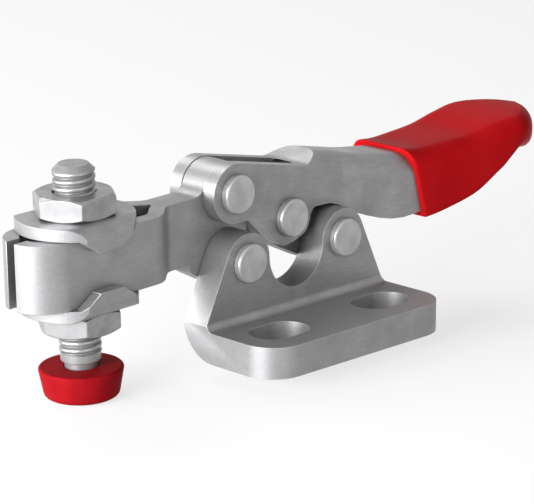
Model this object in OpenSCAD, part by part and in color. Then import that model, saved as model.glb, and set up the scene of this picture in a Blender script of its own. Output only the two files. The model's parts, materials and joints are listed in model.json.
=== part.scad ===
// Small horizontal hold-down toggle clamp, shown locked.
// X runs along the clamp to the handle, Y across it away from the mounting flange, Z up.
// The origin is midway between the two mounting slots, on the mounting face.

/* [Base] */
// Length of the base along the clamp
base_length = 24.7; // [22:0.1:32]
// Thickness of the base sheet
base_sheet = 3.1; // [2.4:0.1:3.8]
// Distance from the slots to the free edge of the flange
flange_edge = 4.5; // [3.8:0.1:8]
// Distance from the slots to the near face of the upright plate
plate_offset = 4.4; // [4:0.1:7]
// Radius of the flange's free corners
flange_corner_r = 3.4; // [0.5:0.1:3.6]
// Inside radius of the bend between flange and plate
base_bend_r = 0.8; // [0.4:0.1:2]
// Distance between the mounting slots
slot_pitch = 14; // [12:0.5:15]
// Width of a mounting slot
slot_width = 4.4; // [3.2:0.1:5]
// Overall length of a mounting slot
slot_length = 6.4; // [5.4:0.1:8]
// Radius of the two ears round the base pins
ear_r = 2.86; // [2.5:0.02:3.2]
// Lean of the plate's front and rear edges from upright, in degrees
plate_edge_lean = 24.9; // [18:0.1:30]

/* [Linkage] */
// Height of the two base pins over the mounting face
pin_height = 8.85; // [8.2:0.05:12]
// Distance between the two base pins
base_pin_spacing = 13.08; // [12.6:0.02:16]
// Place of the base pins' midpoint along the clamp
pins_shift = -0.22; // [-0.6:0.02:0.4]
// Distance from the bar's base pin to its handle pin
bar_arm = 6.47; // [6:0.01:8]
// Distance from the bar's handle pin to the handle's link pin
handle_arm = 8.2; // [7.6:0.02:9]
// How far the middle pin is pressed past the dead centre line
over_centre = 0.05; // [0:0.01:0.2]
// Diameter of the rivets' shanks
rivet_d = 2.1; // [1.8:0.1:2.6]
// Diameter of the rivets' heads
rivet_head_d = 3.82; // [3.2:0.02:4.4]
// Height of the rivets' heads
rivet_head_h = 0.75; // [0.5:0.05:1]
// Half of the link's width
link_r = 3; // [2.6:0.05:3.1]

/* [Movement] */
// Opening angle of the bar
bar_open = 80; // [60:1:84]
// Turn of the handle against the bar for each degree of the bar
handle_ratio = -1.84; // [-1.9:0.01:-1.7]
// Turn of the link for each degree of the bar
link_ratio = 0.76; // [0.6:0.01:0.9]

/* [Bar] */
// Thickness of the strip that the bar is folded from
bar_sheet = 1.52; // [1.2:0.02:1.8]
// Height of the arms
arm_height = 6.47; // [5:0.01:8]
// Height of the arms' lower edge over the base pin, square to the bar
arm_rise = 0.13; // [-0.5:0.01:1]
// Distance from the base pin to the middle of the bar's front loop
bar_reach = 21.48; // [18:0.02:28]
// Distance from the base pin to the start of the arms' inward bend
jog_reach = 10.83; // [10.4:0.01:13]
// Outer radius of the inward bends
jog_outer_r = 2.4; // [1.9:0.1:3]
// Outer radius of the bends back along the tail
jog_inner_r = 1.5; // [1:0.1:2.2]
// Angle of the inward bends in degrees
jog_angle = 42; // [35:1:50]
// Width of the slit at the front of the bar
slit_w = 1.2; // [0.8:0.1:1.8]
// Place of the slit across the bar, from its middle
slit_shift = 0.35; // [0:0.05:0.5]
// Radius of the bar's eye round the base pin
bar_base_eye_r = 2.9; // [2.5:0.02:3.1]
// Radius of the bar's eye round the handle pin
bar_top_eye_r = 2.84; // [2.5:0.02:3]
// Lean of the bar below level when the clamp is shut, in degrees
bar_tilt = 1.58; // [0:0.02:2.5]

/* [Spindle] */
// Thread diameter of the spindle
spindle_d = 4; // [3.6:0.05:4.05]
// Distance from the base pin to the spindle's axis
spindle_reach = 17.49; // [14:0.01:20]
// Height of the spindle's top end over the arms' upper edge
spindle_top = 6.05; // [4.6:0.05:10]
// Height of the spindle's threaded foot under the arms' lower edge
spindle_foot = 5.46; // [4.6:0.02:9]
// Height of the plain ring at the end of the thread
ring_h = 0.87; // [0.5:0.01:1.5]
// Diameter of the neck that holds the rubber cap
neck_d = 3.1; // [2.6:0.1:3.4]
// Length of neck that shows between the ring and the cap
neck_h = 0.65; // [0.3:0.05:1.2]
// Diameter of the rubber cap
cap_d = 8.02; // [6.8:0.02:10]
// Height of the rubber cap
cap_h = 2.9; // [2.5:0.05:4]
// Width across the flats of the nuts
nut_af = 7.1; // [6.6:0.05:8]
// Height of the nuts
nut_h = 2.15; // [1.8:0.05:3]
// Diameter of the flanged washers
washer_d = 11.2; // [10.8:0.1:13]
// Thickness of the flanged washers
washer_sheet = 1.22; // [1:0.02:1.4]
// Depth of the washers' flanges beyond the sheet
washer_flange = 1.35; // [1:0.05:2]
// Width of the flanges at their ends
washer_flange_w = 3; // [2:0.1:4]

/* [Handle] */
// Thickness of the handle's sheet
handle_sheet = 1.5; // [1.2:0.02:1.6]
// Thickness of the web that joins the handle's plates
web_sheet = 1.36; // [1.2:0.02:1.6]
// Radius of the handle's eye round the bar's handle pin
handle_eye_r = 2.92; // [2.8:0.02:3.2]
// Radius of the handle's lobe round the middle pin
lobe_r = 2.87; // [2.6:0.02:3]
// Fall of the handle's top line, in degrees
handle_fall = 11.3; // [10:0.1:12.5]
// Outside radius along the handle's top bends
handle_bend_r = 2.16; // [1.7:0.02:2.2]
// Distance from the bar's handle pin to the front of the web
ramp_start = 9.6; // [8:0.1:11]
// Distance from the rear base pin to the start of the lever's flare
flare_start = 1.66; // [1.3:0.02:3]
// Length of the lever from the start of its flare
lever_length = 25.2; // [22:0.1:30]

/* [Grip] */
// Distance from the start of the flare to the top of the grip's rim
grip_start = 8.4; // [7.4:0.1:10]
// Slant of the grip's rim
rim_lean = 0.26; // [0:0.02:0.4]
// Inner wall of the grip
grip_wall = 0.75; // [0.5:0.05:0.9]
// Radius along the grip's upper edges
grip_corner_r = 1.8; // [1:0.1:2]
// Radius along the grip's lower edges
grip_lip_r = 0.4; // [0.1:0.05:0.6]
// Length of the solid nose past the end of the lever
nose_length = 4.3; // [3.5:0.1:5]
// Length over which the nose is rounded
nose_round = 6.5; // [5.5:0.1:7.5]

/* [Fits] */
// Gap between faces that slide on each other
side_gap = 0.03; // [0.02:0.01:0.06]
// Radial gap of a pin in a part that turns on it
turn_fit = 0.05; // [0.02:0.01:0.08]
// Radial gap of a pin in a part that it is riveted to
rivet_fit = 0.02; // [0.01:0.01:0.03]
// Radial gap of the spindle in nuts, washers and cap
thread_fit = 0.03; // [0.02:0.01:0.05]
// Gap between the spindle and each arm of the bar
arm_gap = 0.105; // [0.05:0.005:0.5]
// Gap between the handle and the rear ear that stops it
stop_gap = 0.09; // [0.06:0.01:0.15]

/* [Hidden] */

// Steps in a right-angled bend
bend_steps = 8;
// Facets of full rounds
round_fn = 96;
// Overshoot of cutting shapes
over = 1;
steel = "#b9b9bb";
red = "#b01c24";

// Layers across the clamp
plate_y0 = plate_offset;
plate_y1 = plate_y0 + base_sheet;
tail_y0 = plate_y1 + side_gap;
tail_y1 = tail_y0 + 2 * bar_sheet;
bar_width = spindle_d + 2 * arm_gap + 2 * bar_sheet;
mid_y = (tail_y0 + tail_y1) / 2;
near_y1 = tail_y0 - side_gap;
near_y0 = near_y1 - handle_sheet;
far_y0 = tail_y1 + side_gap;
far_y1 = far_y0 + handle_sheet;
handle_half_w = (far_y1 - near_y0) / 2;

// Pins as [x, z]
pin_a = [pins_shift - base_pin_spacing / 2, pin_height];
pin_d = [pins_shift + base_pin_spacing / 2, pin_height];
pin_b = pin_a + [-0.06, bar_arm];
line_bd = pin_d - pin_b;
dir_bd = line_bd / norm(line_bd);
pin_c = pin_b + handle_arm * dir_bd + over_centre * [dir_bd[1], -dir_bd[0]];
rivet_r = rivet_d / 2;

// Upper and lower edges of the arms, square to the bar
arm_low = pin_height + arm_rise;
arm_top = arm_low + arm_height;
spindle_x = pin_a[0] - spindle_reach;
loop_x = pin_a[0] - bar_reach;

// A point turned by a degrees about the Y axis
function turned(p, a) = [p[0] * cos(a) + p[1] * sin(a), -p[0] * sin(a) + p[1] * cos(a)];
// The points of an arc from angle a0 to a1
function arc(c, r, a0, a1, n = bend_steps) =
    [for (i = [0:n]) c + r * [cos(a0 + (a1 - a0) * i / n), sin(a0 + (a1 - a0) * i / n)]];
// The outline round two equal circles
function round_strip(p, q, r) =
    let (a = atan2(q[1] - p[1], q[0] - p[0]))
    concat(arc(p, r, a + 90, a + 270, 2 * bend_steps), arc(q, r, a - 90, a + 90, 2 * bend_steps));

// Extrudes an outline drawn as [x, z] across the clamp
module across(y0, y1) {
    translate([0, y1, 0])
        rotate([90, 0, 0])
            linear_extrude(y1 - y0)
                children();
}

// A round bar across the clamp at [x, z]
module cross_bar(p, r, y0, y1) {
    translate([p[0], y1, p[1]])
        rotate([90, 0, 0])
            cylinder(h = y1 - y0, r = r, $fn = round_fn);
}

// Leans the bar and what it carries about the base pin
module leaned() {
    translate([pin_a[0], 0, pin_a[1]])
        rotate([0, -bar_tilt, 0])
            translate([-pin_a[0], 0, -pin_a[1]])
                children();
}

// Side outline of the base: the flange, then two ears with a round valley between them
module plate_side() {
    lean = plate_edge_lean;
    spread = ear_r / cos(lean) + (pin_height - base_sheet) * tan(lean);
    wide = base_length / 2 + over;
    valley_r = base_pin_spacing / 2 - ear_r;
    polygon(concat(
        [[-wide, 0], [-wide, base_sheet], [max(-wide, pin_a[0] - spread), base_sheet]],
        arc(pin_a, ear_r, 180 - lean, 0, 2 * bend_steps),
        arc([pins_shift, pin_height], valley_r - 0.001, 180, 360, 3 * bend_steps),
        arc(pin_d, ear_r, 180, lean, 2 * bend_steps),
        [[min(wide, pin_d[0] + spread), base_sheet], [wide, base_sheet], [wide, 0]]
    ));
}

// Cross-section of the base: flange, bend and plate, drawn as [y, z]
module base_section() {
    outer_r = base_bend_r + base_sheet;
    bend = [plate_y1 - outer_r, outer_r];
    tall = pin_height + 2 * ear_r;
    polygon(concat(
        [[-flange_edge, 0]],
        arc(bend, outer_r, -90, 0),
        [[plate_y1, tall], [plate_y0, tall]],
        arc(bend, base_bend_r, 0, -90),
        [[-flange_edge, base_sheet]]
    ));
}

module base() {
    half = base_length / 2;
    r = flange_corner_r;
    color(steel)
    difference() {
        intersection() {
            translate([-half, 0, 0])
                rotate([90, 0, 90])
                    linear_extrude(base_length)
                        base_section();
            across(-flange_edge - over, plate_y1 + over)
                plate_side();
            linear_extrude(pin_height + 2 * ear_r)
                polygon(concat(
                    arc([-half + r, r - flange_edge], r, 180, 270),
                    arc([half - r, r - flange_edge], r, 270, 360),
                    [[half, plate_y1 + over], [-half, plate_y1 + over]]
                ));
        }
        for (side = [-1, 1])
            translate([side * slot_pitch / 2, 0, -over])
                mounting_slot(base_sheet + 2 * over);
        for (pin = [pin_a, pin_d])
            cross_bar(pin, rivet_r + rivet_fit, plate_y0 - over, plate_y1 + over);
    }
}

// A slot with round ends, along the clamp
module mounting_slot(h) {
    run = slot_length - slot_width;
    for (side = [-1, 1])
        translate([side * run / 2, 0, 0])
            cylinder(h = h, d = slot_width, $fn = round_fn);
    translate([-run / 2, -slot_width / 2, 0])
        cube([run, slot_width, h]);
}

// Half of the bar's plan outline as [x, distance from the middle], inset by d.
// It runs from the front of the loop along the arm and through the bends to the tail.
function bar_half(d, tail_x) =
    let (
        w = bar_width / 2,
        x0 = pin_a[0] - jog_reach,
        c0 = [x0, w - jog_outer_r],
        drop = w - bar_sheet - (jog_outer_r + jog_inner_r) * (1 - cos(jog_angle)),
        run = (jog_outer_r + jog_inner_r) * sin(jog_angle) + drop / tan(jog_angle),
        c1 = [x0 + run, bar_sheet + jog_inner_r]
    )
    concat(
        arc([loop_x, 0], w - d, 180, 90, 2 * bend_steps),
        arc(c0, jog_outer_r - d, 90, 90 - jog_angle),
        arc(c1, jog_inner_r + d, 270 - jog_angle, 270),
        [[tail_x, bar_sheet - d]]
    );

function mirrored(points) = [for (i = [len(points) - 1:-1:0]) [points[i][0], -points[i][1]]];

// Plan of the bar: a strip folded into a loop, open at the front by a slit
module bar_plan() {
    outer = bar_half(0, pin_a[0] + 2 * bar_base_eye_r);
    full = bar_half(bar_sheet, 0);
    inner = [for (p = full) if (p[1] > 0.12 && p[0] < pin_a[0]) p];
    translate([0, mid_y])
        difference() {
            polygon(concat(outer, mirrored(outer)));
            polygon(concat(inner, mirrored(inner)));
            translate([loop_x - bar_width, slit_shift - slit_w / 2])
                square([bar_width, slit_w]);
        }
}

// Side outline of the bar: level arms, then the two eyes of the tail
module bar_side() {
    eye_b = pin_a + turned(pin_b - pin_a, bar_tilt);
    eye_a = pin_a;
    fillet = 1.5;
    lift = arm_top + fillet - eye_b[1];
    reach = sqrt(pow(bar_top_eye_r + fillet, 2) - lift * lift);
    crook = [eye_b[0] - reach, arm_top + fillet];
    meet = 180 - asin(lift / (bar_top_eye_r + fillet));
    under = 240;
    tangent = eye_a + bar_base_eye_r * [cos(under), sin(under)];
    belly_x = eye_a[0] - 3.9;
    belly_r = 0.9;
    slope = -1 / tan(under);
    belly = [belly_x, tangent[1] + slope * (belly_x - tangent[0]) + belly_r / sin(240 - 180)];
    polygon(concat(
        [[loop_x - bar_width, arm_low], [loop_x - bar_width, arm_top]],
        arc(crook, fillet, 270, meet + 180),
        arc(eye_b, bar_top_eye_r, meet, 0, 2 * bend_steps),
        arc(eye_a, bar_base_eye_r, 0, under - 360, 2 * bend_steps),
        arc(belly, belly_r, under, 170, 4),
        [[belly[0] - belly_r - 0.1, arm_low]]
    ));
}

module bar() {
    eye_b = pin_a + turned(pin_b - pin_a, bar_tilt);
    color(steel)
    leaned()
        difference() {
            intersection() {
                linear_extrude(arm_top + 2 * bar_top_eye_r)
                    bar_plan();
                across(mid_y - bar_width, mid_y + bar_width)
                    bar_side();
            }
            cross_bar(pin_a, rivet_r + turn_fit, tail_y0 - over, tail_y1 + over);
            cross_bar(eye_b, rivet_r + turn_fit, tail_y0 - over, tail_y1 + over);
        }
}

// Place of the middle pin in the link's own frame at a share s of the travel.
// The linkage is closed at rest; in mid travel the steady ratios let the pin wander.
function pin_wander(s) =
    let (
        a = bar_open * s,
        b = pin_a + turned(pin_b - pin_a, a),
        c = b + turned(pin_c - pin_b, a * (1 + handle_ratio))
    )
    pin_d + turned(c - pin_d, -a * link_ratio);
// Place of the bar's upper eye in the link's own frame at a share s of the travel
function eye_pass(s) =
    let (b = pin_a + turned(pin_b - pin_a, bar_open * s))
    pin_d + turned(b - pin_d, -bar_open * s * link_ratio);

// Place of the rear base pin in the handle's own frame at a share s of the travel
function ear_pass(s) =
    let (
        a = bar_open * s,
        b = pin_a + turned(pin_b - pin_a, a)
    )
    pin_b + turned(pin_d - b, -a * (1 + handle_ratio));

// Flat bar between the middle pin and the rear base pin
module link() {
    slot_r = rivet_r + turn_fit + 0.12;
    wall = 0.5;
    relief = 0.2;
    color(steel)
    across(tail_y0, tail_y1)
        difference() {
            union() {
                polygon(round_strip(pin_c, pin_d, link_r));
                for (s = [0:0.125:0.875])
                    polygon(round_strip(pin_wander(s), pin_wander(s + 0.125), slot_r + wall));
            }
            polygon([for (s = [0:0.125:1]) pin_wander(s)]);
            for (s = [0:0.125:0.875])
                polygon(round_strip(pin_wander(s), pin_wander(s + 0.125), slot_r));
            for (s = [0.1:0.1:0.9])
                translate(eye_pass(s))
                    circle(r = bar_top_eye_r + relief, $fn = round_fn);
            translate(pin_d)
                circle(r = rivet_r + turn_fit, $fn = round_fn);
        }
}

// Height of the handle's inner top line at x
function top_line(x) =
    pin_b[1] + handle_eye_r / cos(handle_fall) - (x - pin_b[0]) * tan(handle_fall);
flare_x = pin_d[0] + flare_start;
web_rise = web_sheet / cos(handle_fall);
flare_top = top_line(flare_x) + web_rise;

// Arched section of the handle as [y, z], hung from z = 0, cut off at depth h.
// The stretch makes a slanted cut through it come out right.
function arch(w, r, h, stretch = 1) =
    concat(
        [[-w, -h]],
        [for (p = arc([-w + r, -r], r, 180, 90)) [p[0], p[1] * stretch]],
        [for (p = arc([w - r, -r], r, 90, 0)) [p[0], p[1] * stretch]],
        [[w, -h]]
    );

// Straight part of the channel from well in front up to the flare, inset by d at the sides
// and by web_d at the top
module channel(d, web_d) {
    back = 30;
    translate([flare_x, mid_y, flare_top - web_d / cos(handle_fall)])
        rotate([0, handle_fall, 0])
            rotate([90, 0, 90])
                translate([0, 0, -back])
                    linear_extrude(back + 6)
                        polygon(arch(handle_half_w - d, handle_bend_r - d, 14, 1));
}

// Side outline of the handle up to the flare
module handle_side() {
    gap_r = ear_r + stop_gap;
    ramp_x = pin_b[0] + ramp_start;
    ramp_end = pin_b[0] + ramp_start + 2.5;
    neck_z = pin_b[1] - handle_eye_r;
    shoulder = pin_c + lobe_r * [cos(225), sin(225)];
    neck_x = shoulder[0] - (neck_z - shoulder[1]);
    polygon(concat(
        arc(pin_b, handle_eye_r, 90 - handle_fall, 270, 3 * bend_steps),
        arc([neck_x - 0.5, neck_z - 1.2], 1.2, 90, 45, 4),
        arc(pin_c, lobe_r, 225, 360, 2 * bend_steps),
        arc(pin_d + [-2.2, gap_r - 0.35], 0.6, 180, 90, 4),
        [pin_d + [-0.2, gap_r + 0.2]],
        arc(pin_d, gap_r, 78, 66, 2),
        [[flare_x, lever_low(flare_x)]],
        [[flare_x, flare_top]],
        [[ramp_end, top_line(ramp_end) + web_rise]],
        arc([ramp_x, top_line(ramp_x) + 1.5], 1.5, 300, 258, 4)
    ));
}

// Sections along the lever at even steps from the flare: added half width, fall of the top line
// under the flare's top, and fall of the lower edge under it
lever_rows = [
    [0, 0, 5.5], [0.5, 0.82, 7.05], [0.9, 1.38, 7.85], [1.05, 1.85, 7.6],
    [1.1, 2.15, 7.05], [1.15, 1.95, 5.9], [1.1, 1.35, 3.9], [0.9, 0.9, 2.9]
];
// The same for the grip's outside, from the step before its rim to past its nose
grip_rows = [
    [1.1, 0.85, 8.35], [1.6, 1.3, 8.35], [1.9, 1.22, 7.8], [2.2, 1, 6.84],
    [2.5, 0.4, 4.87], [2.78, -0.04, 3.53], [2.76, -0.35, 4.9], [2.5, -0.6, 7]
];
row_step = lever_length / (len(lever_rows) - 1);
grip_row_x = flare_x + 2 * row_step;

// Smooth curve through rows at even steps
function row_at(rows, t) =
    let (
        i = max(0, min(len(rows) - 2, floor(t))),
        f = t - i,
        b = rows[i],
        c = rows[i + 1],
        a = i > 0 ? rows[i - 1] : 2 * b - c,
        d = i < len(rows) - 2 ? rows[i + 2] : 2 * c - b
    )
    b + f / 2 * (c - a) + f * f / 2 * (2 * a - 5 * b + 4 * c - d) + f * f * f / 2 * (3 * b - a - 3 * c + d);
function lever_row(x) = row_at(lever_rows, (x - flare_x) / row_step);
function grip_row(x) = row_at(grip_rows, (x - grip_row_x) / row_step);
function lever_low(x) = flare_top - lever_row(x)[2];

// Ring of a closed arch as [y, z]: half width w, top and low edges, corner radii rt and rb
function ring(w, top, low, rt, rb) =
    concat(
        arc([w - rb, low + rb], rb, -90, 0, 3),
        arc([w - rt, top - rt], rt, 0, 90),
        arc([rt - w, top - rt], rt, 90, 180),
        arc([rb - w, low + rb], rb, 180, 270, 3)
    );

// Closed skin through rings at the given places along the clamp
module skin(xs, rings) {
    n = len(rings[0]);
    last = len(xs) - 1;
    polyhedron(
        [for (i = [0:last]) for (p = rings[i]) [xs[i], mid_y + p[0], p[1]]],
        concat(
            [for (i = [0:last - 1]) for (k = [0:n - 1])
                let (m = (k + 1) % n)
                [i * n + k, (i + 1) * n + k, (i + 1) * n + m, i * n + m]],
            [[for (k = [0:n - 1]) k], [for (k = [n - 1:-1:0]) last * n + k]]
        ),
        convexity = 6
    );
}

// Places of the lever's rings, counted in even steps from the flare
function lever_place(i) = flare_x + lever_length * i / 16;

// Body of the lever through rings at xs, grown by d, its lower edge moved down by low_d
module lever_body(xs, d, low_d) {
    skin(xs, [
        for (x = xs)
            let (row = lever_row(x))
            ring(
                handle_half_w + row[0] + d,
                flare_top - row[1] + d,
                min(flare_top - row[2] - low_d, flare_top - row[1] - handle_bend_r - 0.2),
                max(0.2, handle_bend_r + d),
                0.05
            )
    ]);
}

module handle() {
    color(steel)
    difference() {
        union() {
            difference() {
                intersection() {
                    channel(0, 0);
                    across(mid_y - 2 * handle_half_w, mid_y + 2 * handle_half_w)
                        handle_side();
                }
                channel(handle_sheet, web_sheet);
                across(near_y1, far_y0)
                    translate(pin_b + [ramp_start - 30.2, -15])
                        square([30, 30]);
            }
            difference() {
                lever_body([for (i = [0:16]) lever_place(i)], 0, 0);
                lever_body([for (i = [-1:17]) lever_place(i)], -handle_sheet, over);
            }
        }
        across(near_y0 - over, near_y1 + side_gap)
            for (s = [0:0.08:0.48])
                polygon(round_strip(ear_pass(s), ear_pass(s + 0.08), ear_r + 0.05));
        cross_bar(pin_b, rivet_r + rivet_fit, near_y0 - over, far_y1 + over);
        cross_bar(pin_c, rivet_r + rivet_fit, near_y0 - over, far_y1 + over);
    }
}

// Outside of the grip, rounded off at its nose
module grip_outside(nose_x, end_x) {
    straight = [for (i = [0:11]) grip_row_x + (nose_x - grip_row_x) * i / 12];
    round_end = [for (a = [0:9:81]) nose_x + (end_x - nose_x) * sin(a)];
    xs = concat(straight, round_end);
    skin(xs, [
        for (x = xs)
            let (
                row = grip_row(x),
                u = max(0, (x - nose_x) / (end_x - nose_x)),
                k = sqrt(1 - u * u),
                rounding = max(0, min(1, (x - nose_x + 1.5) / 3)),
                w = (handle_half_w + row[0]) * k,
                top = flare_top - row[1],
                low = flare_top - row[2],
                mid = (top + low) / 2,
                tall = (top - low) / 2 * (0.83 + 0.17 * k)
            )
            ring(
                w, mid + tall, mid - tall,
                min(grip_corner_r, w * 0.9, tall * 0.9),
                min(grip_lip_r + (grip_corner_r - grip_lip_r) * rounding, w * 0.9, tall * 0.9)
            )
    ]);
}

// Moulded sleeve over the lever, wrapped round both its legs
module grip() {
    tip = flare_x + lever_length;
    rim = flare_x + grip_start;
    rim_top = flare_top;
    inner = handle_sheet + grip_wall;
    inside = [for (i = [2:16]) lever_place(i)];
    tall = 30;
    color(red)
    difference() {
        grip_outside(tip + nose_length - nose_round, tip + nose_length);
        difference() {
            lever_body(concat(inside, [tip + side_gap]), side_gap, side_gap);
            lever_body(concat(inside, [tip + side_gap + over]), -handle_sheet - side_gap, over);
        }
        lever_body(inside, -inner, 2 * over);
        across(mid_y - tall, mid_y + tall)
            polygon([
                [rim - rim_lean * over, rim_top + over],
                [rim + rim_lean * tall, rim_top - tall],
                [rim - tall, rim_top - tall],
                [rim - tall, rim_top + over]
            ]);
    }
}

// Rivet across the clamp with a flat head at each end
module rivet(p, y0, y1) {
    head_r = rivet_head_d / 2;
    edge = 0.12;
    reach = y1 - y0;
    color(steel)
    translate([p[0], y0, p[1]])
        rotate([-90, 0, 0])
            rotate_extrude($fn = round_fn)
                polygon([
                    [0, -rivet_head_h],
                    [head_r - edge, -rivet_head_h],
                    [head_r, edge - rivet_head_h],
                    [head_r, 0],
                    [rivet_r, 0],
                    [rivet_r, reach],
                    [head_r, reach],
                    [head_r, reach + rivet_head_h - edge],
                    [head_r - edge, reach + rivet_head_h],
                    [0, reach + rivet_head_h]
                ]);
}

module rivet_bar_base() {
    rivet(pin_a, plate_y0, far_y0);
}

module rivet_link_base() {
    rivet(pin_d, plate_y0, far_y0);
}

module rivet_handle_bar() {
    rivet(pin_b, near_y0, far_y1);
}

module rivet_handle_link() {
    rivet(pin_c, near_y0, far_y1);
}

// Puts a shape on the spindle's axis at a height square to the bar
module on_spindle(z) {
    leaned()
        translate([spindle_x, mid_y, z])
            children();
}

spindle_r = spindle_d / 2;
foot_z = arm_low - spindle_foot;
cap_top_z = foot_z - ring_h - neck_h;
cap_floor = 1;

module spindle() {
    chamfer = 0.57;
    neck_r = neck_d / 2;
    button_r = cap_d / 2 - 1.2;
    top = arm_top + spindle_top - foot_z;
    low = cap_top_z - foot_z;
    color(steel)
    on_spindle(foot_z)
        rotate_extrude($fn = round_fn)
            polygon([
                [0, low - cap_h + cap_floor],
                [button_r, low - cap_h + cap_floor],
                [button_r, low - 0.7],
                [neck_r, low - 0.7],
                [neck_r, low + neck_h],
                [spindle_r - 0.1, low + neck_h],
                [spindle_r - 0.1, 0],
                [spindle_r, 0],
                [spindle_r, top - chamfer],
                [spindle_r - chamfer, top],
                [0, top]
            ]);
}

// Rubber cap pushed over the button at the spindle's foot
module spindle_cap() {
    r = cap_d / 2;
    neck_r = neck_d / 2 + thread_fit;
    button_r = cap_d / 2 - 1.2 + thread_fit;
    color(red)
    on_spindle(cap_top_z)
        rotate_extrude($fn = round_fn)
            polygon(concat(
                [[0, -cap_h]],
                arc([r - 0.95, 0.55 - cap_h], 0.55, -90, -8, 4),
                arc([r - 0.25, -0.25], 0.25, 0, 90, 3),
                [
                    [neck_r, 0],
                    [neck_r, -0.7 + thread_fit],
                    [button_r, -0.7 + thread_fit],
                    [button_r, cap_floor - cap_h - thread_fit],
                    [0, cap_floor - cap_h - thread_fit]
                ]
            ));
}

// Hexagon nut with both faces chamfered, its corners turned by a
module nut(a) {
    corner_r = nut_af / 2 / cos(30);
    flat_r = nut_af / 2;
    rise = (corner_r - flat_r) * tan(30);
    difference() {
        intersection() {
            rotate([0, 0, a])
                cylinder(h = nut_h, r = corner_r, $fn = 6);
            rotate_extrude($fn = round_fn)
                polygon([
                    [0, 0],
                    [flat_r - 0.05, 0],
                    [corner_r + 0.05, rise + 0.06],
                    [corner_r + 0.05, nut_h - rise - 0.06],
                    [flat_r - 0.05, nut_h],
                    [0, nut_h]
                ]);
        }
        translate([0, 0, -over])
            cylinder(h = nut_h + 2 * over, r = spindle_r + thread_fit, $fn = round_fn);
    }
}

module upper_nut() {
    color(steel)
    on_spindle(arm_top + washer_sheet)
        nut(58.5);
}

module lower_nut() {
    color(steel)
    on_spindle(arm_low - washer_sheet - nut_h)
        nut(-1.3);
}

// Round washer with a flange bent down on each side of the bar
module washer() {
    r = washer_d / 2;
    inside = bar_width / 2 + side_gap;
    outside = inside + washer_sheet;
    outer_r = 1.2 * washer_sheet;
    bend = [outside - outer_r, washer_sheet - outer_r];
    half = washer_flange_w / 2;
    shoulder = half + 1.9;
    low = -washer_flange;
    difference() {
        intersection() {
            translate([-r, 0, 0])
                rotate([90, 0, 90])
                    linear_extrude(2 * r)
                        polygon(concat(
                            [[outside, low]],
                            arc(bend, outer_r, 0, 90),
                            arc([-bend[0], bend[1]], outer_r, 90, 180),
                            [[-outside, low], [-inside, low], [-inside, 0], [inside, 0], [inside, low]]
                        ));
            translate([0, 0, low - over])
                cylinder(h = washer_flange + washer_sheet + 2 * over, r = r, $fn = round_fn);
            translate([0, r, 0])
                rotate([90, 0, 0])
                    linear_extrude(2 * r)
                        polygon([
                            [-half, low - over],
                            [half, low - over],
                            [half, low + 0.1],
                            [shoulder, 0],
                            [r + over, 0],
                            [r + over, washer_sheet + over],
                            [-r - over, washer_sheet + over],
                            [-r - over, 0],
                            [-shoulder, 0],
                            [-half, low + 0.1]
                        ]);
        }
        translate([0, 0, -over])
            cylinder(h = washer_sheet + 2 * over, r = spindle_r + thread_fit, $fn = round_fn);
    }
}

module upper_washer() {
    color(steel)
    on_spindle(arm_top)
        washer();
}

module lower_washer() {
    color(steel)
    on_spindle(arm_low)
        mirror([0, 0, 1])
            washer();
}

base();
bar();
link();
handle();
grip();
rivet_bar_base();
rivet_handle_bar();
rivet_handle_link();
rivet_link_base();
spindle();
spindle_cap();
upper_nut();
lower_nut();
upper_washer();
lower_washer();
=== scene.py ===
"""Looks of the small toggle clamp: fine shapes, finishes, floor, light and camera."""
import json
import math

import bmesh
import bpy
from mathutils import Matrix, Vector


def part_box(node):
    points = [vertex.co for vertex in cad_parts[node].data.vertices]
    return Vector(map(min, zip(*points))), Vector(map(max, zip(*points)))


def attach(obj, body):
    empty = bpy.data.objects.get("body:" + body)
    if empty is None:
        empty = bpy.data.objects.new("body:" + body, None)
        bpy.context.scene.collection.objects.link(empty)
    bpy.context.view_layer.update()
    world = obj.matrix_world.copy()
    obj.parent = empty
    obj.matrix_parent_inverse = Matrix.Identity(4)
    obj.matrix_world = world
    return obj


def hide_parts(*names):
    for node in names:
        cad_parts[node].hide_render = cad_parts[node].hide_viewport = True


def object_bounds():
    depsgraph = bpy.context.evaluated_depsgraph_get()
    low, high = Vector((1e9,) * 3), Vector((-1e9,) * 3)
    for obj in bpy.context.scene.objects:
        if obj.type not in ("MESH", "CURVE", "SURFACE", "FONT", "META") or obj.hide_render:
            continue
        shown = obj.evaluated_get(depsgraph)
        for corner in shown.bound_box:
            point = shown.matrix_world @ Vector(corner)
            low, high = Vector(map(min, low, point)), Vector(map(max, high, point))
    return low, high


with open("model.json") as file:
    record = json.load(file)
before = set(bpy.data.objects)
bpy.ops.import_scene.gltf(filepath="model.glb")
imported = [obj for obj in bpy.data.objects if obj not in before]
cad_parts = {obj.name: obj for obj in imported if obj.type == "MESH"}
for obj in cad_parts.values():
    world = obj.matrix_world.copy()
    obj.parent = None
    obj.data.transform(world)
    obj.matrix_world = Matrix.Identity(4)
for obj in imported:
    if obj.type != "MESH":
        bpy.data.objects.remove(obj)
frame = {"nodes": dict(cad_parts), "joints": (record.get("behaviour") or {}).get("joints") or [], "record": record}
cad_low, cad_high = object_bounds()

MM = 0.001
TAU = 2 * math.pi

# About the lean of the bar and the spindle, for the grain and the turned rings on them
BAR_LEAN = math.radians(1.6)

# The camera stands round towards the front of the flange's side, a little above the clamp
CAMERA_AT = (-0.19253, -0.18387, 0.08461)
CAMERA_AIM = (0.680466, 0.680466, -0.271907)
CAMERA_LENS = 194.75

JOINTS = {j["name"]: j for j in frame["joints"]}
MOUNTS = {m["name"]: m for m in frame["record"]["mounts"]}


# Node helpers

# Range that a noise mostly keeps to
NOISE_LOW, NOISE_HIGH = 0.3, 0.7
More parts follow.
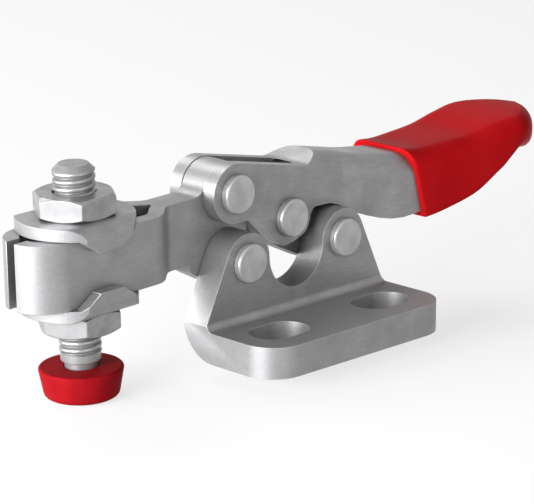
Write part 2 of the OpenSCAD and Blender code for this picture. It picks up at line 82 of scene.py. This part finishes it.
# Places of the Mix node's two colours and of its result
MIX_FIRST, MIX_SECOND, MIX_RESULT = 6, 7, 2
# Match of the rounded and the true normal where an edge is palest, and where it is left plain; the paler edges are
# partly wear, partly painted highlight
PALEST_EDGE_MATCH, PLAIN_MATCH = 0.75, 0.98
# Share of open sky where the painted corner shade is deepest, and where there is none
DEEPEST_SHADE_SKY, UNSHADED_SKY = 0.25, 0.85
# Samples that look for edges and for corners
EDGE_SAMPLES = 4
CORNER_SAMPLES = 6


def feed(tree, socket, value):
    """Links a socket to another node's output, or sets its value."""
    if isinstance(value, bpy.types.NodeSocket):
        tree.links.new(value, socket)
    else:
        socket.default_value = value


def add(tree, kind, links=None, **settings):
    """A new shader node with its settings, socket values and incoming links."""
    made = tree.nodes.new(kind)
    for name, value in settings.items():
        setattr(made, name, value)
    for name, value in (links or {}).items():
        feed(tree, made.inputs[name], value)
    return made


def empty_tree(owner):
    """The node tree of a material or world, with nothing in it."""
    owner.use_nodes = True
    owner.node_tree.nodes.clear()
    return owner.node_tree


def new_material(name):
    """An empty node material, and its tree, shader and place on the object."""
    made = bpy.data.materials.new(name)
    tree = empty_tree(made)
    place = add(tree, "ShaderNodeTexCoord").outputs["Object"]
    shader = add(tree, "ShaderNodeBsdfPrincipled")
    add(tree, "ShaderNodeOutputMaterial", {"Surface": shader.outputs["BSDF"]})
    return made, tree, shader, place


def grey(level, blue=None):
    """A grey, with a blue of its own where one is given."""
    return level, level, level if blue is None else blue, 1


def noise(tree, place, size, detail, stretch=(1, 1, 1), turn=(0, 0, 0)):
    """Noise whose features are about size metres across, drawn out by stretch."""
    mapped = add(tree, "ShaderNodeMapping", {
        "Vector": place,
        "Rotation": turn,
        "Scale": [1 / (size * s) for s in stretch],
    })
    made = add(tree, "ShaderNodeTexNoise", {
        "Vector": mapped.outputs["Vector"],
        "Scale": 1.0,
        "Detail": detail,
        "Roughness": 0.5,
    })
    return made.outputs["Fac"]


def span(tree, value, low, high, from_low=NOISE_LOW, from_high=NOISE_HIGH):
    """Value spread to low and high, from the range of a noise or from another one."""
    made = add(tree, "ShaderNodeMapRange", {
        "Value": value,
        "From Min": from_low,
        "From Max": from_high,
        "To Min": low,
        "To Max": high,
    })
    return made.outputs["Result"]


def blend_colour(tree, amount, first, second):
    """Colour that goes from first to second with amount."""
    made = add(tree, "ShaderNodeMix", data_type="RGBA")
    feed(tree, made.inputs["Factor"], amount)
    feed(tree, made.inputs[MIX_FIRST], first)
    feed(tree, made.inputs[MIX_SECOND], second)
    return made.outputs[MIX_RESULT]


def pale_edges_wear_and_highlight(tree, colour, width, most, wear_and_highlight_colour):
    """Colour with up to most of a paler colour over it on outer edges, width metres from them: partly wear, partly
    painted highlight.
    """
    rounded = add(tree, "ShaderNodeBevel", {"Radius": width}, samples=EDGE_SAMPLES)
    true = add(tree, "ShaderNodeNewGeometry")
    match = add(tree, "ShaderNodeVectorMath", {
        0: rounded.outputs["Normal"],
        1: true.outputs["Normal"],
    }, operation="DOT_PRODUCT")
    edge = span(tree, match.outputs["Value"], 1.0, 0.0, PALEST_EDGE_MATCH, PLAIN_MATCH)
    return blend_colour(tree, span(tree, edge, 0, most, 0, 1), colour, wear_and_highlight_colour)


def paint_corner_shade(tree, colour, reach, most, shade_colour):
    """Colour with painted shade: up to most of a dark colour over it in corners and gaps up to reach metres wide.
    """
    sky = add(tree, "ShaderNodeAmbientOcclusion", {"Distance": reach}, samples=CORNER_SAMPLES)
    corner = span(tree, sky.outputs["AO"], 1.0, 0.0, DEEPEST_SHADE_SKY, UNSHADED_SKY)
    return blend_colour(tree, span(tree, corner, 0, most, 0, 1), colour, shade_colour)


def added(tree, first, second):
    """The sum of two values."""
    return add(tree, "ShaderNodeMath", {0: first, 1: second}, operation="ADD").outputs["Value"]


def coat(tree, shader, colour, roughness):
    """Gives the shader its colour and roughness."""
    tree.links.new(colour, shader.inputs["Base Color"])
    tree.links.new(roughness, shader.inputs["Roughness"])


def raise_grain(tree, shader, height, strength, depth):
    """Gives the shader bumps depth metres deep."""
    bump = add(tree, "ShaderNodeBump", {"Height": height, "Strength": strength, "Distance": depth})
    tree.links.new(bump.outputs["Normal"], shader.inputs["Normal"])


# Finishes

# How far the rolled grain of a sheet is drawn out along it
ROLLED_STRETCH = (9, 1, 1)


def plated_sheet(name, turn=(0, 0, 0), tone=0.27):
    """Zinc-plated sheet: satin, faintly clouded, rolled grain; paler edges partly worn, partly painted highlight;
    painted corner shade.
    """
    made, tree, shader, place = new_material(name)
    cloud = noise(tree, place, 3.2 * MM, detail=4)
    rolled = noise(tree, place, 0.16 * MM, detail=2, stretch=ROLLED_STRETCH, turn=turn)
    speck = noise(tree, place, 0.07 * MM, detail=2)
    pale, deep = grey(tone + 0.03, tone + 0.033), grey(tone - 0.035, tone - 0.03)
    clouded = blend_colour(tree, span(tree, cloud, 0, 1), pale, deep)
    streak = grey(tone - 0.11, tone - 0.10)
    grained = blend_colour(tree, span(tree, rolled, 0, 0.3), clouded, streak)
    # Paler outer edges: partly rubbed wear, partly painted highlight
    with_wear_and_highlight = pale_edges_wear_and_highlight(tree, grained, width=0.16 * MM, most=0.35, wear_and_highlight_colour=grey(0.62))
    # Painted shade darkens the corners and gaps
    colour = paint_corner_shade(tree, with_wear_and_highlight, reach=0.9 * MM, most=0.45, shade_colour=grey(0.10, 0.105))
    coat(tree, shader, colour, roughness=span(tree, cloud, 0.42, 0.52))
    shader.inputs["Metallic"].default_value = 0.8
    raise_grain(tree, shader, added(tree, rolled, speck), strength=0.25, depth=0.012 * MM)
    return made


def turned_steel(name, axis_point, axis_turn, tone=0.39):
    """Plated steel with faint rings left by the turning tool round an axis."""
    made, tree, shader, place = new_material(name)
    centred = add(tree, "ShaderNodeMapping", {
        "Vector": place,
        "Location": [-c for c in axis_point],
    }, vector_type="POINT")
    turned = add(tree, "ShaderNodeMapping", {
        "Vector": centred.outputs["Vector"],
        "Rotation": axis_turn,
    })
    rings = add(tree, "ShaderNodeTexWave", {
        "Vector": turned.outputs["Vector"],
        "Scale": 1 / (1.1 * MM),
        "Distortion": 0.6,
        "Detail": 2.0,
        "Detail Scale": 2.0,
    }, wave_type="RINGS", rings_direction="Z")
    cloud = noise(tree, place, 1.6 * MM, detail=4)
    pale, deep = grey(tone + 0.04), grey(tone - 0.07, tone - 0.06)
    clouded = blend_colour(tree, span(tree, cloud, 0, 1), pale, deep)
    # Paler outer edges: partly rubbed wear, partly painted highlight
    with_wear_and_highlight = pale_edges_wear_and_highlight(tree, clouded, width=0.12 * MM, most=0.35, wear_and_highlight_colour=grey(0.66))
    # Painted shade darkens the corners and gaps
    colour = paint_corner_shade(tree, with_wear_and_highlight, reach=0.4 * MM, most=0.25, shade_colour=grey(0.13, 0.135))
    coat(tree, shader, colour, roughness=span(tree, cloud, 0.30, 0.42))
    shader.inputs["Metallic"].default_value = 0.7
    raise_grain(tree, shader, rings.outputs["Fac"], strength=0.12, depth=0.01 * MM)
    return made


def red_vinyl(name):
    """Dipped red vinyl: smooth, a little uneven, a faint sheen, and a painted highlight along its outer edges."""
    made, tree, shader, place = new_material(name)
    cloud = noise(tree, place, 5.0 * MM, detail=3)
    ripple = noise(tree, place, 0.35 * MM, detail=3)
    grain = noise(tree, place, 0.09 * MM, detail=2)
    pale, deep = (0.36, 0.006, 0.008, 1), (0.32, 0.004, 0.006, 1)
    clouded = blend_colour(tree, span(tree, cloud, 0, 1), pale, deep)
    # Paler outer edges: painted highlight, such as the one on the rim's bead
    colour = pale_edges_wear_and_highlight(tree, clouded, width=0.25 * MM, most=0.3, wear_and_highlight_colour=(0.62, 0.06, 0.05, 1))
    coat(tree, shader, colour, roughness=span(tree, ripple, 0.32, 0.40))
    shader.inputs["Specular IOR Level"].default_value = 0.01
    raise_grain(tree, shader, added(tree, ripple, grain), strength=0.2, depth=0.012 * MM)
    return made


def red_rubber(name):
    """Moulded red rubber: matt, finely pored, a little paler on its edges, partly dust and partly painted
    highlight.
    """
    made, tree, shader, place = new_material(name)
    cloud = noise(tree, place, 1.8 * MM, detail=4)
    pores = noise(tree, place, 0.11 * MM, detail=3)
    pale, deep = (0.20, 0.004, 0.007, 1), (0.16, 0.003, 0.005, 1)
    clouded = blend_colour(tree, span(tree, cloud, 0, 1), pale, deep)
    # Paler outer edges: partly dust, partly painted highlight
    colour = pale_edges_wear_and_highlight(tree, clouded, width=0.2 * MM, most=0.35, wear_and_highlight_colour=(0.46, 0.06, 0.06, 1))
    coat(tree, shader, colour, roughness=span(tree, pores, 0.5, 0.62))
    shader.inputs["Specular IOR Level"].default_value = 0.02
    raise_grain(tree, shader, pores, strength=0.3, depth=0.015 * MM)
    return made


# Copies of the CAD shapes

# In millimetres: points this near are merged, and faces and edges this small go
WELD = 0.002
SLIVER = 0.001
# In degrees: faces that turn less are made one, and edges that turn more stay sharp
FLAT_TURN = 0.6
CREASE = 32
EASE_STEPS = 2


def placed(name, data):
    """A new object of the scene."""
    made = bpy.data.objects.new(name, data)
    bpy.context.scene.collection.objects.link(made)
    return made


def object_of(bm, name):
    """A new object of the scene made from a bmesh, which is used up."""
    mesh = bpy.data.meshes.new(name)
    bm.to_mesh(mesh)
    bm.free()
    return placed(name, mesh)


def finish_piece(name, mesh, material, body, stands_for):
    """Puts a finished mesh on its body in place of its CAD node."""
    piece = placed(name, mesh)
    mesh.materials.clear()
    mesh.materials.append(material)
    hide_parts(stands_for)
    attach(piece, body)
    return piece


def shade(mesh, crease):
    """Smooth shading that keeps edges sharper than crease degrees."""
    mesh.polygons.foreach_set("use_smooth", [True] * len(mesh.polygons))
    mesh.set_sharp_from_angle(angle=math.radians(crease))


def softened(node, name, material, body, edge, lift=0.0):
    """The CAD node's own shape, raised by lift and its outer corners eased by edge, in millimetres."""
    mesh = frame["nodes"][node].data.copy()
    bm = bmesh.new()
    bm.from_mesh(mesh)
    bmesh.ops.remove_doubles(bm, verts=bm.verts, dist=WELD * MM)
    bmesh.ops.dissolve_degenerate(bm, edges=bm.edges, dist=SLIVER * MM)
    bmesh.ops.dissolve_limit(
        bm, angle_limit=math.radians(FLAT_TURN), verts=bm.verts, edges=bm.edges
    )
    eased = bm.edges.layers.float.new("bevel_weight_edge")
    for e in bm.edges:
        if len(e.link_faces) == 2 and e.calc_face_angle_signed() > math.radians(CREASE):
            e[eased] = 1.0
    bmesh.ops.translate(bm, verts=bm.verts, vec=(0, 0, lift * MM))
    bm.to_mesh(mesh)
    bm.free()
    for layer in list(mesh.color_attributes):
        mesh.color_attributes.remove(layer)
    shade(mesh, CREASE)
    piece = finish_piece(name, mesh, material, body, node)
    bevel = piece.modifiers.new("eased corners", "BEVEL")
    bevel.width = edge * MM
    bevel.segments = EASE_STEPS
    bevel.limit_method = "WEIGHT"
    bevel.use_clamp_overlap = True
    flats = piece.modifiers.new("flat faces shaded flat", "WEIGHTED_NORMAL")
    flats.keep_sharp = True


# The spindle

def along_spindle():
    """Matrix that stands an upright shape on the cap's face, along the spindle."""
    up = Vector(JOINTS["spindle_height"]["axis"]).normalized()
    foot = Vector(MOUNTS["cap_face"]["pos_m"])
    turn = Vector((0, 0, 1)).rotation_difference(up).to_matrix().to_4x4()
    return Matrix.Translation(foot) @ turn


# Heights over the cap's face and radii of the spindle, in millimetres
SPINDLE_R = 2.0
SPINDLE_TOP = 22.4
TOP_CHAMFER = 0.57
TIP_DEPTH = 0.12
TIP_INSET = 0.01
THREAD_FOOT = 4.42
RING_FOOT = 3.55
RING_R = 1.9
RING_CHAMFER = 0.08
NECK_R = 1.55
BUTTON_FOOT = 1.0
BUTTON_TOP = 2.2
# The button's side lies this far inside the cap's side
BUTTON_INSET = 1.23
# The thread reaches this far into the ring under it and the tip over it
THREAD_OVERLAP = 0.02
THREAD_PITCH = 0.70
THREAD_DEPTH = 0.30
# Turns wound to spare, and turns wound below the thread's foot; both ends are then cut off
SPARE_TURNS = 2
LOW_TURNS = 1.5
ROUND_STEPS = 64
SPUN_WELD = 0.0005
SCREW_CREASE = 38
# Points this near a cutting plane are on it, in metres
ON_PLANE = 1e-7


def outline(bm, profile):
    """Points and edges of a half outline [radius, height] in millimetres."""
    points = [bm.verts.new((r * MM, 0, z * MM)) for r, z in profile]
    edges = [bm.edges.new(pair) for pair in zip(points, points[1:])]
    return points + edges


def spun(profile):
    """A round solid from its half outline, from axis to axis."""
    bm = bmesh.new()
    bmesh.ops.spin(
        bm, geom=outline(bm, profile), cent=(0, 0, 0), axis=(0, 0, 1), angle=TAU,
        steps=ROUND_STEPS, use_merge=True
    )
    bmesh.ops.remove_doubles(bm, verts=bm.verts, dist=SPUN_WELD * MM)
    bmesh.ops.recalc_face_normals(bm, faces=bm.faces)
    return bm


def thread():
    """The spindle's thread: one ridge wound round it from the plain ring to the chamfered tip."""
    low, high = THREAD_FOOT - THREAD_OVERLAP, SPINDLE_TOP - TOP_CHAMFER + THREAD_OVERLAP
    turns = math.ceil((high - low) / THREAD_PITCH) + SPARE_TURNS
    start = low - LOW_TURNS * THREAD_PITCH
    root = SPINDLE_R - THREAD_DEPTH
    crest = SPINDLE_R
    # Radius and share of the pitch, up one ridge
    ridge = (
        (root, 0.0), (root, 0.08), (crest - 0.10, 0.24), (crest - 0.03, 0.34), (crest, 0.46),
        (crest, 0.62), (crest - 0.03, 0.74), (crest - 0.10, 0.84)
    )
    profile = [
        (r, start + (turn + share) * THREAD_PITCH)
        for turn in range(turns) for r, share in ridge
    ]
    bm = bmesh.new()
    bmesh.ops.spin(
        bm, geom=outline(bm, profile), cent=(0, 0, 0), axis=(0, 0, 1), angle=TAU,
        dvec=(0, 0, THREAD_PITCH * MM / ROUND_STEPS), steps=ROUND_STEPS
    )
    bmesh.ops.remove_doubles(bm, verts=bm.verts, dist=WELD * MM)
    for height, up in ((low, -1), (high, 1)):
        everything = bm.verts[:] + bm.edges[:] + bm.faces[:]
        bmesh.ops.bisect_plane(
            bm, geom=everything, plane_co=(0, 0, height * MM), plane_no=(0, 0, up),
            clear_outer=True
        )
        rim = [
            e for e in bm.edges
            if e.is_boundary and abs(e.verts[0].co.z - height * MM) < ON_PLANE
        ]
        bmesh.ops.edgeloop_fill(bm, edges=rim)
    bmesh.ops.recalc_face_normals(bm, faces=bm.faces)
    return bm


def spindle():
    """The spindle as one piece: tip, thread, plain ring, neck and the button inside the cap."""
    low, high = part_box("spindle_cap")
    button_r = (high.y - low.y) / MM / 2 - BUTTON_INSET
    ends = spun((
        (0, BUTTON_FOOT), (button_r, BUTTON_FOOT), (button_r, BUTTON_TOP), (NECK_R, BUTTON_TOP),
        (NECK_R, RING_FOOT), (RING_R - RING_CHAMFER, RING_FOOT),
        (RING_R, RING_FOOT + RING_CHAMFER), (RING_R, THREAD_FOOT - RING_CHAMFER),
        (RING_R - RING_CHAMFER, THREAD_FOOT), (0, THREAD_FOOT)
    ))
    shoulder = SPINDLE_TOP - TOP_CHAMFER
    tip_r = SPINDLE_R - TIP_INSET
    tip = spun((
        (0, shoulder - TIP_DEPTH), (tip_r, shoulder - TIP_DEPTH), (tip_r, shoulder),
        (SPINDLE_R - TOP_CHAMFER, SPINDLE_TOP), (0, SPINDLE_TOP)
    ))
    mesh = bpy.data.meshes.new("spindle_screw")
    joined = bmesh.new()
    for part in (ends, tip, thread()):
        part.to_mesh(mesh)
        part.free()
        joined.from_mesh(mesh)
    bmesh.ops.transform(joined, matrix=along_spindle(), verts=joined.verts)
    joined.to_mesh(mesh)
    joined.free()
    shade(mesh, SCREW_CREASE)
    return mesh


# The grip

# The lever and the grip, in millimetres: x along the clamp, z up
FLARE_X = 7.98
FLARE_TOP = 16.73
LEVER_LENGTH = 25.2
LEVER_TIP = FLARE_X + LEVER_LENGTH
HALF_WIDTH = 3.05
SHEET = 1.5
SLEEVE_GAP = 0.03
INNER_WALL = 0.75
BEND_R = 2.16
LEAST_BEND_R = 0.2
# Added half width, fall of the top line and fall of the lower edge, one row each step
LEVER_ROWS = (
    (0, 0, 5.5), (0.5, 0.82, 7.05), (0.9, 1.38, 7.85), (1.05, 1.85, 7.6),
    (1.1, 2.15, 7.05), (1.15, 1.95, 5.9), (1.1, 1.35, 3.9), (0.9, 0.9, 2.9),
)
GRIP_ROWS = (
    (1.1, 0.85, 8.35), (1.6, 1.3, 8.35), (1.9, 1.22, 7.8), (2.2, 1.0, 6.84),
    (2.5, 0.4, 4.87), (2.78, -0.04, 3.53), (2.76, -0.35, 4.9), (2.5, -0.6, 7.0),
)
ROW_STEP = LEVER_LENGTH / (len(LEVER_ROWS) - 1)
GRIP_ROW_X = FLARE_X + 2 * ROW_STEP
RIM_X = FLARE_X + 8.4
RIM_LEAN = 0.26
RIM_ROUND = 0.28
GRIP_CORNER_R = 1.8
GRIP_LIP_R = 0.4
LEAST_CORNER_R = 0.05
NOSE_END = LEVER_TIP + 4.3
NOSE_START = NOSE_END - 6.5
# The lower corners go from lip to full round over this length, half of it before the nose
LIP_FADE = 3
# Share of its height that the nose keeps at its end, and the share that rounds away
NOSE_KEPT, NOSE_LOST = 0.83, 0.17
# A corner takes up to this share of half a section's width or height
CORNER_SHARE = 0.9
# The slots in the grip start this far before its rim, and the middle one goes on this far below
# the lever's lower edge
SHEET_LEAD = 1.0
MIDDLE_LEAD = 1.5
MIDDLE_DROP = 2.0

# Steps of the grip's mesh: round a section, along the grip and round its rim and nose
LOW_CORNER_STEPS = 5
SIDE_STEPS = 6
TOP_CORNER_STEPS = 12
CROWN_STEPS = 8
BEND_STEPS = 8
SLOT_STEPS = 24
LENGTH_STEPS = 32
RIM_STEPS = 5
NOSE_ANGLES = (*range(6, 85, 6), 87)
# Rounds in which a point of a leaning section settles
LEAN_ROUNDS = 6
SLEEVE_CREASE = 42


def row_at(rows, place):
    """Smooth curve through rows at even steps."""
    i = max(0, min(len(rows) - 2, math.floor(place)))
    t = place - i
    out = []
    for k in range(3):
        b, c = rows[i][k], rows[i + 1][k]
        a = rows[i - 1][k] if i > 0 else 2 * b - c
        d = rows[i + 2][k] if i < len(rows) - 2 else 2 * c - b
        slope = t / 2 * (c - a)
        bow = t * t / 2 * (2 * a - 5 * b + 4 * c - d)
        swing = t ** 3 / 2 * (3 * b - a - 3 * c + d)
        out.append(b + slope + bow + swing)
    return out


def round_corner(centre, r, start, steps):
    """Points of a quarter turn from start degrees."""
    angles = [math.radians(start + 90 * i / steps) for i in range(steps + 1)]
    return [(centre[0] + r * math.cos(a), centre[1] + r * math.sin(a)) for a in angles]


def straight(a, b, steps):
    """Points between a and b, without the ends."""
    return [
        (a[0] + (b[0] - a[0]) * i / steps, a[1] + (b[1] - a[1]) * i / steps)
        for i in range(1, steps)
    ]


def closed_ring(w, top, low, top_r, low_r):
    """Outline of a grip section as (across, z), as many points for every section."""
    right = round_corner((w - low_r, low + low_r), low_r, -90, LOW_CORNER_STEPS)
    upper_right = round_corner((w - top_r, top - top_r), top_r, 0, TOP_CORNER_STEPS)
    half = right + straight(right[-1], upper_right[0], SIDE_STEPS) + upper_right
    mirror = [(-a, z) for a, z in reversed(half)]
    crown = straight(half[-1], mirror[0], CROWN_STEPS)
    return half + crown + mirror + straight(mirror[-1], half[0], SIDE_STEPS)


def grip_ring(x, inset=0.0):
    """Section of the grip's outside at x, drawn in by inset."""
    wider, top_fall, low_fall = row_at(GRIP_ROWS, (x - GRIP_ROW_X) / ROW_STEP)
    into_nose = max(0.0, (x - NOSE_START) / (NOSE_END - NOSE_START))
    left = math.sqrt(max(0.0, 1 - into_nose * into_nose))
    near_nose = max(0.0, min(1.0, (x - NOSE_START + LIP_FADE / 2) / LIP_FADE))
    w = (HALF_WIDTH + wider) * left
    mid = FLARE_TOP - (top_fall + low_fall) / 2
    tall = (low_fall - top_fall) / 2 * (NOSE_KEPT + NOSE_LOST * left)
    most = min(w * CORNER_SHARE, tall * CORNER_SHARE)
    top_r = min(GRIP_CORNER_R, most)
    low_r = min(GRIP_LIP_R + (GRIP_CORNER_R - GRIP_LIP_R) * near_nose, most)
    return closed_ring(
        w - inset, mid + tall - inset, mid - tall + inset,
        max(LEAST_CORNER_R, top_r - inset), max(LEAST_CORNER_R, low_r - inset)
    )


def slanted_ring(place, back, inset):
    """Ring that leans like the rim at place 0 and is upright at place 1, where the nose starts."""
    ring = grip_ring(RIM_X, inset)
    points = []
    for k in range(len(ring)):
        z = ring[k][1]
        for _ in range(LEAN_ROUNDS):
            rim = RIM_X + RIM_LEAN * (FLARE_TOP - z) + back
            x = rim + (NOSE_START - rim) * place
            across, z = grip_ring(x, inset)[k]
        points.append((x, across, z))
    return points


def skin(rings, middle):
    """A closed solid through rings of (x, across, z), its ends filled."""
    bm = bmesh.new()
    loops = [
        [bm.verts.new((x * MM, (middle + a) * MM, z * MM)) for x, a, z in ring]
        for ring in rings
    ]
    n = len(loops[0])
    for first, second in zip(loops, loops[1:]):
        for k in range(n):
            bm.faces.new((first[k], first[(k + 1) % n], second[(k + 1) % n], second[k]))
    bm.faces.new(list(reversed(loops[0])))
    bm.faces.new(loops[-1])
    bmesh.ops.recalc_face_normals(bm, faces=bm.faces)
    return bm


def lever_arch(x, grown, low_drop):
    """Arch of the lever's section at x from its left foot to its right, grown by a margin."""
    wider, top_fall, low_fall = row_at(LEVER_ROWS, (x - FLARE_X) / ROW_STEP)
    w = HALF_WIDTH + wider + grown
    top = FLARE_TOP - top_fall + grown
    low = FLARE_TOP - low_fall - low_drop
    r = max(LEAST_BEND_R, BEND_R + grown)
    right = [(w, low)] + round_corner((w - r, top - r), r, 0, BEND_STEPS)
    return [(-a, z) for a, z in right] + list(reversed(right))


def slot_places(lead, end):
    """Places of a slot's sections, from lead before the rim to end."""
    start, length = RIM_X - lead, end - RIM_X + lead
    return [start + length * i / SLOT_STEPS for i in range(SLOT_STEPS + 1)]


def sheet_slot(middle):
    """The room that the lever's bent sheet takes inside the grip."""
    rings = []
    for x in slot_places(SHEET_LEAD, LEVER_TIP + SLEEVE_GAP):
        outer = lever_arch(x, SLEEVE_GAP, SLEEVE_GAP)
        inner = lever_arch(x, -SHEET - SLEEVE_GAP, SLEEVE_GAP)
        rings.append([(x, a, z) for a, z in outer + inner[::-1]])
    return skin(rings, middle)


def middle_slot(middle):
    """The open middle under the grip, between the walls that line the lever's legs."""
    rings = []
    for x in slot_places(MIDDLE_LEAD, LEVER_TIP):
        arch = lever_arch(x, -SHEET - INNER_WALL, MIDDLE_DROP)
        rings.append([(x, a, z) for a, z in arch])
    return skin(rings, middle)


def cut(bm, cutters):
    """The mesh of bm with the cutters taken away from it."""
    body = object_of(bm, "sleeve_outside")
    tools = [object_of(c, "sleeve_cutter") for c in cutters]
    for tool in tools:
        difference = body.modifiers.new("cut", "BOOLEAN")
        difference.operation = "DIFFERENCE"
        difference.solver = "EXACT"
        difference.object = tool
    depsgraph = bpy.context.evaluated_depsgraph_get()
    mesh = bpy.data.meshes.new_from_object(body.evaluated_get(depsgraph))
    for obj in [body] + tools:
        bpy.data.objects.remove(obj)
    return mesh


def sleeve():
    """The grip: a smooth outside with a rounded rim and nose, hollowed for the lever."""
    low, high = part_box("grip")
    middle = (low.y + high.y) / 2 / MM
    rings = []
    for i in range(RIM_STEPS + 1):
        a = math.radians(90 * i / RIM_STEPS)
        back, inset = RIM_ROUND * (1 - math.cos(a)), RIM_ROUND * (1 - math.sin(a))
        rings.append(slanted_ring(0.0, back, inset))
    for i in range(1, LENGTH_STEPS + 1):
        rings.append(slanted_ring(i / LENGTH_STEPS, RIM_ROUND, 0.0))
    for angle in NOSE_ANGLES:
        x = NOSE_START + (NOSE_END - NOSE_START) * math.sin(math.radians(angle))
        rings.append([(x, across, z) for across, z in grip_ring(x)])
    mesh = cut(skin(rings, middle), [sheet_slot(middle), middle_slot(middle)])
    shade(mesh, SLEEVE_CREASE)
    return mesh


# The clamp

# Both washers' copies stand this many millimetres off the bar
WASHER_LIFT = 0.01


def dress_clamp():
    """Puts every piece on its body, with its finish."""
    lean = (0, BAR_LEAN, 0)
    lying = (math.radians(90), 0, 0)
    sheet = plated_sheet("plated_sheet")
    bar_sheet = plated_sheet("plated_bar_strip", turn=lean, tone=0.28)
    softened("base", "base_angle", sheet, "base", edge=0.16)
    softened("bar", "folded_bar", bar_sheet, "bar", edge=0.10)
    # Much darker tone than the other sheets: painted shade on the link, which sits in the handle's shadow
    shaded_link_sheet = plated_sheet("painted_shade_link_strip", tone=0.13)
    softened("link", "hidden_link", shaded_link_sheet, "link", edge=0.08)
    softened("handle", "channel_handle", sheet, "handle", edge=0.05)
    finish_piece("sleeve", sleeve(), red_vinyl("red_vinyl"), "handle", "grip")
    for node, body in (
        ("rivet_bar_base", "base"), ("rivet_link_base", "base"),
        ("rivet_handle_bar", "handle"), ("rivet_handle_link", "handle"),
    ):
        low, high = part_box(node)
        finish = turned_steel("turned_" + node, (low + high) / 2, lying)
        softened(node, node + "_pin", finish, body, edge=0.05)
    foot = Vector(MOUNTS["cap_face"]["pos_m"])
    screw_steel = turned_steel("turned_screw_steel", foot, lean, tone=0.26)
    finish_piece("threaded_spindle", spindle(), screw_steel, "spindle", "spindle")
    for node in ("upper_nut", "lower_nut"):
        softened(node, node + "_hex", screw_steel, "carriage", edge=0.07)
    for node, lift in (("upper_washer", WASHER_LIFT), ("lower_washer", -WASHER_LIFT)):
        softened(
            node, node + "_flanged", bar_sheet, "carriage", edge=0.10, lift=lift
        )
    rubber = red_rubber("red_rubber")
    softened("spindle_cap", "rubber_tip", rubber, "spindle", edge=0.12)


# Floor, light and camera

# Size of the floor's grid in metres, and its gap under the clamp in millimetres
FLOOR_SIZE = 1.5
FLOOR_GAP = 0.02
# Share of plain white in the floor, as the camera and mirrors see it
FLOOR_WHITE = 0.70

# Name, azimuth and elevation in degrees, distance, width and height in metres, power in watts
LAMPS = (
    ("left_lamp", 153, 10, 0.42, (0.36, 0.18), 2.8),
    ("front_lamp", 188, 10, 0.45, (0.26, 0.18), 4.4),
    ("side_lamp", 262, 12, 0.55, (0.30, 0.30), 0.8),
    ("top_lamp", 82, 47, 0.45, (0.18, 0.18), 0.6),
)


def background_rays(tree):
    """1 for rays that show the background: straight from the camera, mirrored or let through."""
    path = add(tree, "ShaderNodeLightPath")
    seen = path.outputs["Is Camera Ray"]
    for ray in ("Is Glossy Ray", "Is Transmission Ray"):
        either = add(
            tree, "ShaderNodeMath", {0: seen, 1: path.outputs[ray]}, operation="MAXIMUM"
        )
        seen = either.outputs["Value"]
    return seen


def mixed_shaders(tree, share, first, second):
    """Shader that goes from first to second with share."""
    made = add(tree, "ShaderNodeMixShader", {
        0: share,
        1: first.outputs[0],
        2: second.outputs[0],
    })
    return made.outputs[0]


def build_floor():
    """A pale floor that takes the clamp's shadow and shows nearly white."""
    bm = bmesh.new()
    bmesh.ops.create_grid(bm, x_segments=2, y_segments=2, size=FLOOR_SIZE)
    bmesh.ops.translate(bm, verts=bm.verts, vec=(0, 0, cad_low.z - FLOOR_GAP * MM))
    floor = object_of(bm, "floor")
    made = bpy.data.materials.new("pale_floor")
    tree = empty_tree(made)
    share = add(
        tree, "ShaderNodeMath", {0: background_rays(tree), 1: FLOOR_WHITE}, operation="MULTIPLY"
    )
    paint = add(tree, "ShaderNodeBsdfDiffuse", {"Color": grey(0.88)})
    white = add(tree, "ShaderNodeEmission", {"Color": grey(1), "Strength": 1.0})
    mixed = mixed_shaders(tree, share.outputs["Value"], paint, white)
    add(tree, "ShaderNodeOutputMaterial", {"Surface": mixed})
    floor.data.materials.append(made)


def soft_lamp(name, azimuth, elevation, distance, size, power):
    """A soft lamp, size wide and high, aimed at the clamp's middle."""
    centre = (cad_low + cad_high) / 2
    a, e = math.radians(azimuth), math.radians(elevation)
    out = Vector((math.cos(e) * math.cos(a), math.cos(e) * math.sin(a), math.sin(e)))
    data = bpy.data.lights.new(name, "AREA")
    data.shape = "RECTANGLE"
    data.size, data.size_y = size
    data.energy = power
    lamp = placed(name, data)
    lamp.location = centre + out * distance
    aim(lamp, -out)


def aim(thing, direction):
    """Turns a lamp or the camera to look along a direction."""
    thing.rotation_mode = "QUATERNION"
    thing.rotation_quaternion = Vector(direction).to_track_quat("-Z", "Y")


def light_scene():
    """A dim pale world that shows nearly white, and the soft lamps."""
    world = bpy.data.worlds.new("studio")
    tree = empty_tree(world)
    sky = add(tree, "ShaderNodeBackground", {"Color": grey(0.80, 0.81), "Strength": 0.20})
    white = add(tree, "ShaderNodeBackground", {"Color": grey(1), "Strength": 0.95})
    mixed = mixed_shaders(tree, background_rays(tree), sky, white)
    add(tree, "ShaderNodeOutputWorld", {"Surface": mixed})
    bpy.context.scene.world = world
    for lamp in LAMPS:
        soft_lamp(*lamp)


def place_camera():
    """The camera at the photograph's angle."""
    data = bpy.data.cameras.new("camera")
    data.lens = CAMERA_LENS
    data.sensor_width = 36
    data.sensor_fit = "HORIZONTAL"
    data.clip_start = 0.01
    data.clip_end = 5
    camera = placed("camera", data)
    camera.location = CAMERA_AT
    aim(camera, CAMERA_AIM)
    bpy.context.scene.camera = camera


dress_clamp()
build_floor()
light_scene()
place_camera()
bpy.context.scene.view_settings.view_transform = "Standard"
